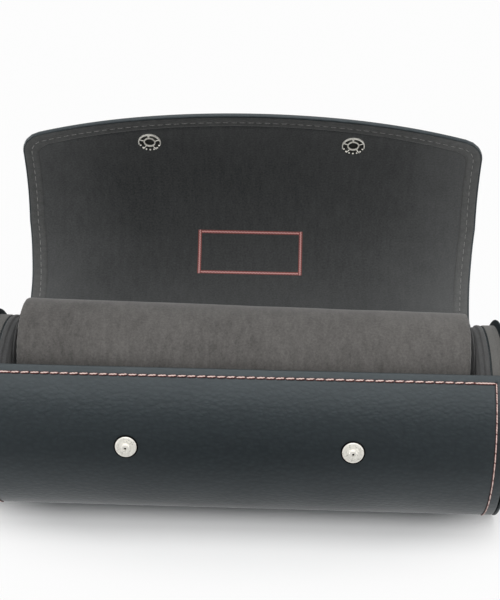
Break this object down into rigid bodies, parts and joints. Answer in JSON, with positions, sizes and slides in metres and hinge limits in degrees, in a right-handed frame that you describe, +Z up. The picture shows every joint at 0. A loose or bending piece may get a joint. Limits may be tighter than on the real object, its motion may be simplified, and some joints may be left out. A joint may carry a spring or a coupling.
{
  "type": "watch travel case",
  "caption": "Cylindrical leather watch roll with a padded cushion inside and a wrap-over flap that closes on snaps.",
  "frame": {"origin": "centre of the flat that the case rests on", "axes": "+X along the drum towards its right end as its front is faced, +Y to the back where the flap is hinged, +Z up"},
  "size_m": [0.226, 0.1172, 0.1679],
  "materials": {
    "leather": "black fine-grain leather, semi-matt",
    "suede": "grey microsuede",
    "roll_suede": "warm grey microsuede",
    "flap_lining": "dark grey brushed microsuede",
    "board": "compressed grey board",
    "foam": "polyurethane foam",
    "snap_metal": "bright nickel plate",
    "contrast_thread": "waxed salmon thread",
    "tonal_thread": "grey thread"
  },
  "bodies": {
    "case": {"shell_leather": "leather", "shell_board": "board", "shell_lining": "suede", "left_cap_board": "board", "left_cap_lining": "suede", "left_rim_band": "suede", "left_end_pad": "suede", "left_end_disc": "leather", "right_cap_board": "board", "right_cap_lining": "suede", "right_rim_band": "suede", "right_end_pad": "suede", "right_end_disc": "leather", "snap_studs": "snap_metal", "stud_rivets": "snap_metal"},
    "roll": {"roll_cover": "roll_suede", "roll_foam": "foam", "left_roll_disc": "roll_suede", "right_roll_disc": "roll_suede"},
    "flap_1": {"flap_leather_1": "leather", "flap_lining_1": "flap_lining"},
    "flap_2": {"flap_leather_2": "leather", "flap_board_2": "board", "flap_lining_2": "flap_lining"},
    "flap_3": {"flap_leather_3": "leather", "flap_board_3": "board", "flap_lining_3": "flap_lining"},
    "flap_4": {"flap_leather_4": "leather", "flap_board_4": "board", "flap_lining_4": "flap_lining"},
    "flap_5": {"flap_leather_5": "leather", "flap_board_5": "board", "flap_lining_5": "flap_lining"},
    "flap_6": {"flap_leather_6": "leather", "flap_board_6": "board", "flap_lining_6": "flap_lining", "snap_sockets": "snap_metal", "socket_caps": "snap_metal"}
  },
  "joints": [
    {"name": "roll_press", "type": "slide", "parent": "case", "child": "roll", "axis": [0, 0, 1], "range_m": [-0.0215, 0]},
    {"name": "flap_hinge", "type": "hinge", "parent": "case", "child": "flap_1", "pos_m": [0, 0.03015, 0.07222], "axis": [1, 0, 0], "range_deg": [0, 134.39]},
    {"name": "flap_crease_2", "type": "hinge", "parent": "flap_1", "child": "flap_2", "pos_m": [0, 0.04408, 0.07344], "axis": [1, 0, 0], "range_deg": [-3.25, 0]},
    {"name": "flap_crease_3", "type": "hinge", "parent": "flap_2", "child": "flap_3", "pos_m": [0, 0.06096, 0.08407], "axis": [1, 0, 0], "range_deg": [-4.29, 0]},
    {"name": "flap_crease_4", "type": "hinge", "parent": "flap_3", "child": "flap_4", "pos_m": [0, 0.07051, 0.1027], "axis": [1, 0, 0], "range_deg": [-0.39, 0]},
    {"name": "flap_crease_5", "type": "hinge", "parent": "flap_4", "child": "flap_5", "pos_m": [0, 0.07054, 0.12364], "axis": [1, 0, 0], "range_deg": [0, 7.48]},
    {"name": "flap_crease_6", "type": "hinge", "parent": "flap_5", "child": "flap_6", "pos_m": [0, 0.06374, 0.14345], "axis": [1, 0, 0], "range_deg": [0, 11.37]}
  ],
  "couplings": [
    {"joint": "flap_hinge", "follows": "roll_press", "rad_per_m": -109.09},
    {"joint": "flap_crease_2", "follows": "roll_press", "rad_per_m": 2.6383},
    {"joint": "flap_crease_3", "follows": "roll_press", "rad_per_m": 3.4825},
    {"joint": "flap_crease_4", "follows": "roll_press", "rad_per_m": 0.31659},
    {"joint": "flap_crease_5", "follows": "roll_press", "rad_per_m": -6.0721},
    {"joint": "flap_crease_6", "follows": "roll_press", "rad_per_m": -9.2299}
  ]
}
